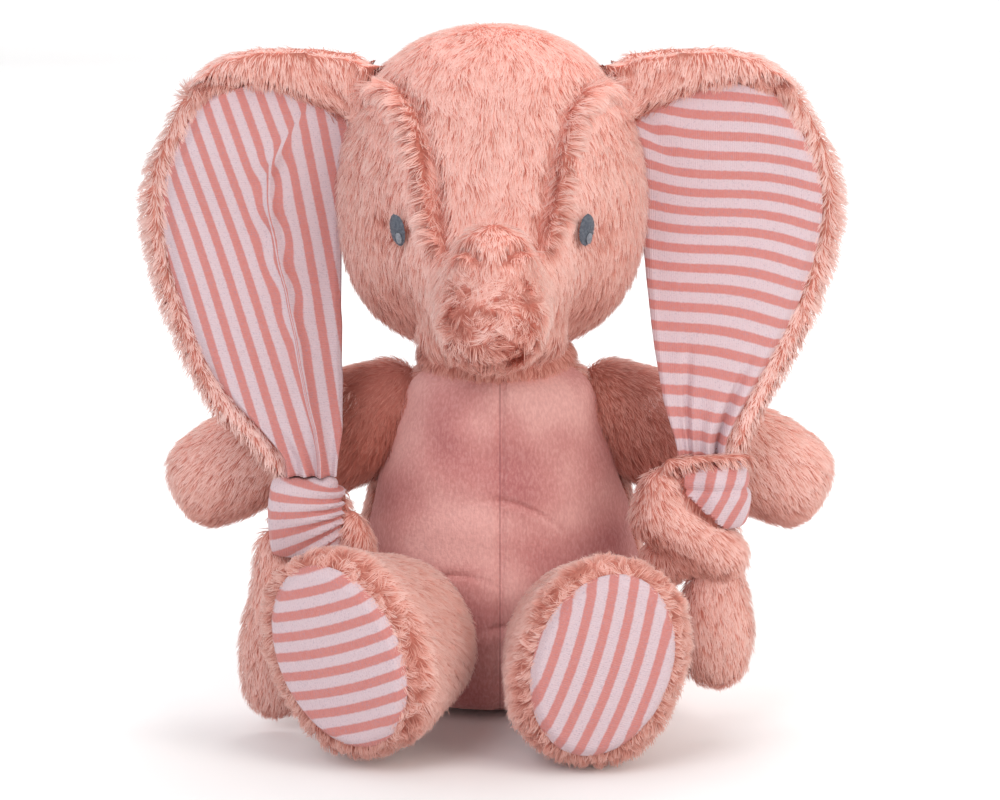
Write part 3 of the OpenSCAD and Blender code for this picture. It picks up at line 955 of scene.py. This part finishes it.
def outline(node, rows):
    """A CAD sheet read from the front: for each height, its inner and outer edge and its front surface."""
    found = tree(node)
    lo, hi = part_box(node)
    heights = np.linspace(hi.z - 0.3 * MM, lo.z + 0.3 * MM, rows)
    xs = np.arange(lo.x, hi.x, 0.6 * MM)
    edges = []
    for z in heights:
        hits = [x for x in xs if found.ray_cast(Vector((x, -0.3, z)), Vector((0, 1, 0)))[0] is not None]
        edges.append((min(hits), max(hits)) if hits else edges[-1])
    return heights, np.array(edges), found


def soften(values, rounds=6):
    values = values.copy()
    for _ in range(rounds):
        values[1:-1] = values[:-2] * 0.25 + values[1:-1] * 0.5 + values[2:] * 0.25
    return values


def inset(heights, edge, s, margin):
    """An outer edge moved inwards by a margin, square to itself."""
    slope = np.gradient(edge, heights)
    size = np.sqrt(1 + slope ** 2)
    x, z = edge - s * margin / size, heights + s * margin * slope / size
    order = np.argsort(z)
    return np.interp(heights, z[order], x[order])


def ear_span(side):
    """Heights, inner edge and outer edge of the lining that shows, read from the CAD ear."""
    s = SIDES[side]
    heights, edges, found = outline(f"ear_lining_{side}", 120)
    inner, outer = (edges if s > 0 else edges[:, ::-1]).T
    rows, back, _ = outline(f"ear_back_{side}", 120)
    rim = inset(rows, soften(back[:, 1 if s > 0 else 0], 10), s, 8.5 * MM)
    rim = np.interp(heights[::-1], rows[::-1], rim[::-1])[::-1]
    outer = np.where(s * rim < s * outer, rim, outer)
    h = np.linspace(0, 1, len(heights))
    inner = inner - s * (1.5 + 2.5 * smooth(0.02, 0.12, h) * smooth(1.0, 0.85, h)) * MM
    return heights, soften(inner), soften(outer, 10), found


def lining_right(x, z, t, h, wide):
    """Stripes, wales and relief in mm of the right lining: stripes that run down it, and one long fold."""
    down = z[0, 0] - z
    crease = 0.40 - 0.10 * h + 0.035 * np.sin(7 * h) - 0.10 * smooth(0.25, 0.0, h)
    gap = (t - crease) * wide
    fold = smooth(0.10, 0.22, h) * bell(gap, 1.8 * MM)
    puckers = smooth(0.1, 0.2, h) * smooth(0.8, 0.5, h) * np.sin(down / (3.4 * MM))
    puckers = puckers * bell(gap, 6 * MM)
    lean = 0.19 + 0.17 * smooth(-0.5 * MM, 1.5 * MM, gap)
    return x - lean * down + 1.4 * MM * puckers, z, 2.0 * fold + 0.8 * puckers


def lining_left(x, z, t, h, wide):
    """The same for the left lining: stripes that run across it, and the tucks where the knot gathers it."""
    fold = smooth(0.30, 0.05, h) * bell((t - 0.06 - 0.5 * h) * wide, 4 * MM)
    tucks = smooth(0.66, 0.9, h) * (bell(t - 0.80, 0.045) + bell(t - 0.27, 0.045))
    slope = 0.20 * (1 - 0.5 * h ** 2)
    sway = 2.5 * MM * np.sin(5 * t + 3 * h) * (wide / wide.max()) ** 2
    return z + slope * (x - x[0, 0]) + sway + 2 * MM * fold, x, -1.2 * fold - 3.4 * tucks


def make_lining(side):
    """The striped sheet on the front of an ear, tucked in at its edges and gathered into the knot."""
    node, s = f"ear_lining_{side}", SIDES[side]
    heights, inner, outer, found = ear_span(side)
    edges = outline(node, len(heights))[1]
    rows, cols = len(heights), 80
    t = np.linspace(0, 1, cols)[None]
    h = np.linspace(0, 1, rows)[:, None]
    wide = np.abs(outer - inner)[:, None]
    x = inner[:, None] * (1 - t) + outer[:, None] * t
    z = heights[:, None] + 0 * t
    y = np.empty_like(x)
    for i in range(rows):
        for j in range(cols):
            at_x = min(max(x[i, j], edges[i, 0] + MM), edges[i, 1] - MM)
            hit = found.ray_cast(Vector((at_x, -0.3, z[i, j])), Vector((0, 1, 0)))[0]
            y[i, j] = hit.y if hit is not None else (y[i, j - 1] if j else y[i - 1, 0])
    y = soften(soften(y, 8).T, 4).T
    flat = np.stack([x, y, z], axis=-1).reshape(-1, 3)
    sag = waves(flat, 55 * MM, 70 + s).reshape(x.shape) * (1 - h)
    gathers = smooth(0.78, 1.0, h) * np.cos(2 * math.pi * 3.1 * t + 0.6)
    stripe, wale, relief = (lining_right if side == "right" else lining_left)(x, z, t, h, wide)
    tuck = (3.2 + 2.0 * smooth(0.6, 0.9, h)) * smooth(0.92, 1.0, t) + 1.5 * smooth(0.04, 0.0, t)
    y = y - (relief + 1.6 * gathers + 1.0 * sag + 0.5 - tuck) * MM
    grid = np.stack([x, y, z], axis=-1)
    quads = grid_quads(rows - 1, cols - 1, cols)
    sheet = mesh_of(f"ear_jersey_{side}", grid, quads if s > 0 else quads[:, ::-1])
    put(sheet, "stripe", stripe)
    put(sheet, "wale", wale)
    cloth = sheet.modifiers.new("cloth", "SOLIDIFY")
    cloth.thickness = 0.8 * MM
    cloth.offset = -1
    bake_modifiers(sheet)
    settle(sheet, JERSEY, f"ear_{side}", node, slot="jersey")


def make_ear(side):
    """The fur of an ear: its back, the border round the lining and the fold along its top."""
    s = SIDES[side]
    nodes = [f"ear_back_{side}", f"ear_fold_{side}"]
    tip = box_point(nodes[1], (0.04 if s > 0 else 0.96, 0.3, 0.1))
    lobe = chain([tip + (0, 0, 6 * MM), tip + (s * MM, -2 * MM, -5 * MM)], [6 * MM, 4.5 * MM])
    root = box_point(nodes[1], (0.0 if s > 0 else 1.0, 0.5, 0.85))
    lobe += chain([root + (s * 4 * MM, 0, -2 * MM), root + (-s * 3 * MM, 2 * MM, -4 * MM)], [5 * MM, 4 * MM])
    skin = skin_of(f"ear_skin_{side}", nodes, 3 * MM, lobe)
    relax(skin, 2, 0.4)
    sink(skin, 2.4 * MM * everywhere(skin))
    subdivide(skin, 1)
    p, n = verts_of(skin), normals_of(skin)
    corner = smooth(root[2] - 4 * MM, root[2], p[:, 2]) * smooth(9 * MM, 3 * MM, s * (p[:, 0] - root[0]))
    p[:, 2] -= 3.0 * MM * corner
    set_verts(skin, p)
    heights, inner, outer, _ = ear_span(side)
    from_inner = s * (p[:, 0] - np.interp(p[:, 2], heights[::-1], inner[::-1]))
    from_outer = s * (p[:, 0] - np.interp(p[:, 2], heights[::-1], outer[::-1]))
    front = n[:, 1] < 0.3
    on_fold = (distances(p, tree(nodes[1])) < distances(p, tree(nodes[0]))) & front
    under = (p[:, 2] < heights[0]) & (from_inner > 0) & (from_outer < 0) & front & ~on_fold
    border = smooth(-1 * MM, 4 * MM, from_outer) * front * ~on_fold
    set_verts(skin, p + (0, -1.6 * MM, 0) * border[:, None])
    sheet = tree(f"ear_lining_{side}")
    near = [sheet.find_nearest(Vector(q)) for q in p]
    out = unit(p - np.array([hit[0] for hit in near])) * (1, 0, 1)
    edge = np.array([hit[3] for hit in near])

    coat = plain_coat(skin, (0.15 * s, -0.5, -1.0), length=7 * MM, lean=1.1)
    sideways = smooth(0.85, 0.5, out[:, 2]) * (n[:, 1] < 0.6) * ~on_fold
    comb_towards(coat, out * 1.3 + (0, 0, -0.3), sideways)
    coat.lean -= 0.2 * sideways
    # Painted light: the border combed out from the lining is drawn paler.
    coat.deep -= 0.25 * sideways
    to_gather = tip + (s * 4 * MM, 0, 2 * MM) - p
    pull = bell(np.linalg.norm(to_gather, axis=1), 22 * MM) * on_fold
    coat.comb += unit(to_gather) * 2.5 * pull[:, None]
    turn = np.arctan2(to_gather[:, 2], -s * to_gather[:, 0])
    crease = pull * smooth(0.1, 0.9, np.cos(9 * turn + 1.0))
    set_verts(skin, verts_of(skin) - n * (1.4 * MM * crease)[:, None])
    # Darker along the lining's edge and in the creases of the fold.
    coat.deep += on_fold * (0.6 * bell(edge, 2.5 * MM) + 0.7 * crease)
    coat.curl += on_fold * 0.6 * bell(edge, 3 * MM)
    top = smooth(0.25, 0.8, n[:, 2])
    coat.length *= 1 - 0.2 * top
    # Painted light: fur on the ear's top is drawn paler where it faces up.
    coat.deep -= 0.3 * top
    settle(skin, BACKING, f"ear_{side}", slot="fur")
    grow(f"ear_fold_fur_{side}", coat, ~under & on_fold, 80 + s, f"ear_{side}", nodes[1])
    grow(f"ear_back_fur_{side}", coat, ~under & ~on_fold, 84 + s, f"ear_{side}", nodes[0])
    make_lining(side)


# The rolls of fur in each knot. Each has its lumps per point, then its points by their share of the knot's
# box, with the roll's radius there in mm.
KNOT_ROLLS = {
    "right": [(4, [((1.0, 0.4, 0.4), 5), ((1.06, 0.4, 0.15), 6), ((1.1, 0.5, -0.1), 6)])],
    "left": [(4, [((-0.06, 0.35, 0.6), 7.5), ((-0.08, 0.32, 0.2), 10), ((0.28, 0.25, -0.1), 9.5),
                  ((0.58, 0.35, -0.35), 10), ((0.25, 0.35, -0.25), 9), ((0.0, 0.6, -0.5), 9)]),
             (8, [((0.02, 0.2, 0.98), 3), ((0.4, 0.08, 1.06), 2.4), ((0.85, 0.12, 1.1), 2.4)])]}


def knot_right(node, p, n, q):
    """Where the right knot shows jersey, its stripes and wales, and its folds in mm. q runs from -1 to 1
    across the knot's box."""
    lo = box_of(node)[0]
    off = p - box_point(node, (1.0, 0.5, 0.66))
    far = np.maximum(-off[:, 0], 0) + 16 * MM
    stripe = off[:, 2] * 52 * MM / far
    folds = 1.2 * np.cos(stripe / (1.3 * MM)) * bell(far - 16 * MM, 14 * MM)
    flat_side, lower = lo[0] + 7 * MM, lo[2] + 11 * MM
    p[:, 0] = np.maximum(p[:, 0], flat_side + (p[:, 0] - flat_side) * 0.25)
    p[:, 2] = np.minimum(p[:, 2], lower + (p[:, 2] - lower) * 1.3)
    return (n[:, 1] < 0.6) & (q[:, 0] < 0.8), stripe, far, folds


def knot_left(node, p, n, q):
    """The same for the left knot, whose jersey is a band with a fold across it."""
    low = smooth(0.4, 0.1, q[:, 2])
    jersey = (n[:, 1] < 0.6) & (q[:, 0] > -0.6) & (q[:, 2] > -0.6 - 1.18 * q[:, 0])
    folds = -1.6 * bell(q[:, 2] - 0.2, 0.12) + 0.5 * np.cos(q[:, 0] * 9) - 2.5 * smooth(0.3, 1.0, q[:, 0])
    stripe = p[:, 0] - (p[:, 2] - box_point(node, (0, 0, 0.6))[2]) * (0.25 + 0.35 * low)
    return jersey, stripe, p[:, 2], folds


def make_knot(side):
    """The knotted part of an ear: a band of jersey wrapped over a roll of fur."""
    s, node = SIDES[side], f"ear_knot_{side}"
    skin = skin_of(f"ear_knot_skin_{side}", [node], 2.5 * MM)
    relax(skin, 3, 0.4)
    sink(skin, 1.0 * MM * everywhere(skin))
    subdivide(skin, 1)
    p, n = verts_of(skin), normals_of(skin)
    lo, hi = box_of(node)
    q = (p - (lo + hi) / 2) / ((hi - lo) / 2)
    jersey, stripe, wale, folds = (knot_right if side == "right" else knot_left)(node, p, n, q)
    set_verts(skin, p + n * (folds * MM + np.where(jersey, 1.6 * MM, 0))[:, None])
    put(skin, "stripe", stripe)
    put(skin, "wale", wale)
    settle(skin, JERSEY, f"ear_{side}", slot="jersey")
    back_with_hide(skin, ~jersey)
    coat = plain_coat(skin, DOWN, length=6 * MM, lean=1.1)
    grow(f"ear_knot_fur_{side}", coat, ~jersey, 90 + s, f"ear_{side}", node)
    rolls = []
    for steps, line in KNOT_ROLLS[side]:
        rolls += chain([box_point(node, share) for share, _ in line], [size * MM for _, size in line], steps)
    roll = skin_of(f"ear_loop_skin_{side}", [], 2 * MM, rolls)
    relax(roll, 3, 0.5)
    subdivide(roll, 1)
    settle(roll, BACKING, f"ear_{side}", slot="fur")
    coat = plain_coat(roll, (0.5 * s, 0, -1.0), length=6 * MM, lean=1.1)
    grow(f"ear_loop_fur_{side}", coat, everywhere(roll), 92 + s, f"ear_{side}")


def make_ear_end(side):
    """The loose end of an ear below its knot: fur in front and jersey behind, wide at its lower end."""
    s = SIDES[side]
    nodes = [f"ear_end_fur_{side}", f"ear_end_lining_{side}"]
    lo, hi = box_of(nodes[0])
    filling = lump((lo + hi) / 2, (hi - lo) * (0.4, 0.38, 0.46))
    hinge = hinge_of(f"ear_end_{side}_swing")
    knuckle = lump(hinge, np.array([9, 4.5, 9]) * MM)    # round about the joint, so it never leaves the knot
    skin = skin_of(f"ear_end_skin_{side}", nodes, 2.5 * MM, [filling, knuckle])
    relax(skin, 3, 0.4)
    p = verts_of(skin)
    middle = (lo[0] + hi[0]) / 2
    drop = 0.86 + 0.28 * smooth(0.9, 0.3, (p[:, 2] - lo[2]) / (hi[2] - lo[2]))
    p[:, 0] = middle + (p[:, 0] - middle) * drop
    set_verts(skin, p)
    subdivide(skin, 1)
    p, n = verts_of(skin), normals_of(skin)
    coat = plain_coat(skin, (0.2 * s, -0.3, -1.0), length=7 * MM, lean=1.1)
    behind = n[:, 1] > 0.4
    put(skin, "stripe", p[:, 2])
    put(skin, "wale", p[:, 0])
    settle(skin, JERSEY, f"ear_end_{side}", nodes[1], slot="jersey")
    back_with_hide(skin, ~behind)
    grow(f"ear_end_pile_{side}", coat, ~behind, 94 + s, f"ear_end_{side}", nodes[0])


# ---------------------------------------------------------------- eyes, tail, label

def thread(points, width, sides=5):
    """The corner points and faces of one thread along some points."""
    points = np.asarray(points)
    path = unit(np.gradient(points, axis=0))
    up = unit(np.cross(path, (0.3, 1, 0.2)))
    over = np.cross(path, up)
    a = np.linspace(0, 2 * math.pi, sides, endpoint=False)
    rings = points[:, None] + width * (np.cos(a)[None, :, None] * up[:, None]
                                       + np.sin(a)[None, :, None] * over[:, None])
    faces = []
    for i in range(len(points) - 1):
        for j in range(sides):
            k = (j + 1) % sides
            faces.append((i * sides + j, i * sides + k, (i + 1) * sides + k, (i + 1) * sides + j))
    return rings.reshape(-1, 3), faces


def threads(name, lines, width):
    """One object of many threads."""
    verts, faces, base = [], [], 0
    for line in lines:
        v, f = thread(line, width)
        verts.append(v)
        faces += [[base + i for i in face] for face in f]
        base += len(v)
    return mesh_of(name, np.concatenate(verts), faces)


def satin(name, node, rows, width):
    """Satin stitch over a flat oval: threads laid side by side across it, a little raised in the middle."""
    middle, long_, short, normal = plane_of(node)
    rng = np.random.default_rng(3)
    p = verts_of(NODES[node]) - middle
    half_long, half_short = np.abs(p @ long_).max(), np.abs(p @ short).max()
    lines = []
    for k in range(rows):
        v = -1 + 2 * (k + 0.5) / rows
        reach = half_short * math.sqrt(max(0.04, 1 - v * v)) * rng.uniform(0.94, 1.05)
        t = np.linspace(-1, 1, 9)[:, None]
        lift = (0.9 * MM * (1 - t ** 2) * (1 - 0.5 * v * v) + rng.uniform(0, 0.1) * MM)
        lines.append(middle + v * half_long * long_ + t * reach * short + lift * normal
                     + 0.25 * t * half_short * 0.3 * long_)
    return threads(name, lines, width)


def make_eyes():
    """Each eye and the glint in it, in satin stitch."""
    for side in SIDES:
        settle(satin(f"eye_stitches_{side}", f"eye_{side}", 30, 0.27 * MM), EYE, "head", f"eye_{side}",
               slot="eye_thread")
        settle(satin(f"eye_glint_stitches_{side}", f"eye_glint_{side}", 9, 0.27 * MM), GLINT, "head",
               f"eye_glint_{side}", slot="glint_thread")


def make_tail():
    """The tail and its tuft. The root is rounded about the joint, so it stays in the body."""
    for part, length, seed in (("tube", 7 * MM, 101), ("tuft", 12 * MM, 102)):
        node = f"tail_{part}"
        hinge = hinge_of("tail_lift")
        root = chain([hinge + (0, -6 * MM, 2 * MM), hinge + (0, 3 * MM, 0)], [6.5 * MM, 5.5 * MM], 5)
        skin = skin_of(f"{node}_skin", [node], 2 * MM, root if part == "tube" else ())
        sink(skin, 1.8 * MM * everywhere(skin))
        coat = plain_coat(skin, (0, 0.6, -1.0), length=length, lean=0.95)
        settle(skin, BACKING, "tail", slot="fur")
        coat.gather += (0.3 if part == "tuft" else 0)
        grow(f"{node}_fur", coat, everywhere(skin), seed, "tail", node, per_mm2=4.0)


def make_label():
    """A blank label that hangs from its seam."""
    lo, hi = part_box("care_label")
    rows, cols = 20, 14
    u, v = np.meshgrid(np.linspace(0, 1, cols), np.linspace(0, 1, rows))
    x, z = lo.x + (hi.x - lo.x) * u, hi.z - (hi.z - lo.z) * v
    y = lo.y + 0.3 * MM + 2.5 * MM * v ** 2 + 0.6 * MM * np.sin(5 * u) * v
    quads = grid_quads(rows - 1, cols - 1, cols)[:, [0, 3, 2, 1]]
    label = mesh_of("label_ribbon", np.stack([x, y, z], axis=-1), quads)
    label.modifiers.new("cloth", "SOLIDIFY").thickness = 0.4 * MM
    bake_modifiers(label)
    settle(label, RIBBON, "body", "care_label", slot="label")


def make_neck():
    """The bunched fur between head and body. It is round about the neck's joints, so it never tears."""
    centre = hinge_of("head_turn") + (0, 2 * MM, -1 * MM)
    skin = skin_of("neck_skin", [], 3 * MM, [lump(centre, np.array([31, 28, 13]) * MM)])
    relax(skin, 2, 0.4)
    subdivide(skin, 1)
    coat = plain_coat(skin, (0, 0.2, -1.0), length=6 * MM, lean=1.2)
    # The neck's fur is drawn darker all over.
    darken(coat, 0.5)
    settle(skin, BACKING, "neck", slot="fur")
    grow("neck_fur", coat, everywhere(skin), 110, "neck")


def make_neck_stitches():
    """Long stitches round the neck, each a little longer than its share of the ring."""
    lo, hi = box_of("neck_seam")
    middle, r = (lo + hi) / 2, (hi[0] - lo[0]) / 2 - 0.7 * MM
    lines = []
    for k in range(18):
        a = np.linspace(0, 1.25, 8) * 2 * math.pi / 18 + 2 * math.pi * k / 18
        z = middle[2] + 0.5 * MM * np.sin(np.linspace(0, math.pi, 8))
        lines.append(np.stack([middle[0] + r * np.cos(a), middle[1] + r * np.sin(a), z], axis=1))
    settle(threads("neck_stitches", lines, 0.4 * MM), SEAM, "neck", "neck_seam", slot="seam_thread")


# ---------------------------------------------------------------- more materials

def jersey_material():
    m = Nodes("striped_jersey")
    stripe, wale = m.attribute("stripe"), m.attribute("wale")
    wobble = m.times(m.minus(m.noise(900.0, 1.0), 0.5), 0.5 * MM)
    place = m.math("FRACT", m.math("DIVIDE", m.plus(stripe, wobble), STRIPE))
    edge = m.math("ABSOLUTE", m.minus(place, 0.5))
    colour = m.mix(m.step(edge, 0.19, 0.27, 1.0, 0.0), srgb(208, 189, 195), srgb(198, 124, 117))
    fleck = m.step(m.noise(1500.0, rough=0.7), 0.56, 0.66)
    colour = m.mix(m.times(fleck, 0.4), colour, srgb(150, 135, 155))
    heather = m.noise(700.0, rough=0.7)
    colour = m.mix(m.times(m.minus(heather, 0.35), 0.5, clamp=True), colour,
                   srgb(206, 168, 168))
    rib = m.math("SINE", m.times(wale, 2 * math.pi / (0.85 * MM)))
    row = m.math("SINE", m.times(stripe, 2 * math.pi / (0.62 * MM)))
    height = m.plus(m.times(rib, 0.6), m.times(m.times(rib, row), 0.4))
    colour = m.mix(m.times(m.plus(rib, 1.0), 0.06), colour, srgb(200, 150, 150))
    return m.finish(colour, roughness=0.9, sheen=0.15, height=height, bump=0.35, reach=0.25 * MM)


def plush_material():
    m = Nodes("tummy_plush")
    brushed = m.noise(26.0, 1.5, rough=0.4)
    fine = m.noise(900.0)
    place = m.add("ShaderNodeMapping", {"Vector": m.add("ShaderNodeTexCoord").outputs["Object"],
                                        "Scale": (1.0, 1.0, 0.4)}).outputs[0]
    grain = m.noise(1100.0, vector=place, rough=0.6)
    colour = m.ramp(brushed, (0.36, srgb(176, 108, 108)), (0.5, srgb(200, 138, 134)),
                    (0.64, srgb(226, 174, 168)))
    speck = m.ramp(grain, (0.35, srgb(160, 102, 100)), (0.5, srgb(208, 150, 145)),
                   (0.66, srgb(246, 206, 200)))
    colour = m.mix(0.17, colour, speck)
    line = m.step(m.math("ABSOLUTE", m.attribute("seam")), 0.1 * MM, 0.45 * MM, 0.5, 0.0)
    colour = m.mix(line, colour, srgb(120, 60, 66))
    height = m.plus(m.times(fine, 0.6), m.times(grain, 0.6))
    return m.finish(colour, roughness=0.85, sheen=0.5, sheen_tint=srgb(255, 205, 200), height=height,
                    bump=0.7, reach=0.6 * MM)


def thread_material(name, dark, light):
    m = Nodes(name)
    colour = m.ramp(m.noise(900.0), (0.3, dark), (0.7, light))
    return m.finish(colour, roughness=0.45, sheen=0.3, height=m.noise(2500.0, 1.0), bump=0.3, reach=0.1 * MM)


FUR, BACKING, JERSEY, PLUSH = fur_material(), hide_material(), jersey_material(), plush_material()
EYE = thread_material("eye_thread", srgb(72, 78, 90), srgb(104, 110, 120))
GLINT = thread_material("glint_thread", srgb(120, 126, 136), srgb(150, 154, 162))
SEAM = thread_material("seam_thread", srgb(190, 110, 95), srgb(214, 140, 122))
RIBBON = thread_material("label_ribbon", srgb(236, 236, 234), srgb(248, 248, 246))

make_camera()
make_stage()
skins = make_skins()
make_head(skins["head"])
make_body(skins["body"])
for ear_side in SIDES:
    make_arm(skins[f"arm_{ear_side}"], ear_side)
    make_leg(skins[f"leg_{ear_side}"], ear_side)
    make_ear(ear_side)
    make_knot(ear_side)
    make_ear_end(ear_side)
make_eyes()
make_tail()
make_label()
make_neck()
make_neck_stitches()
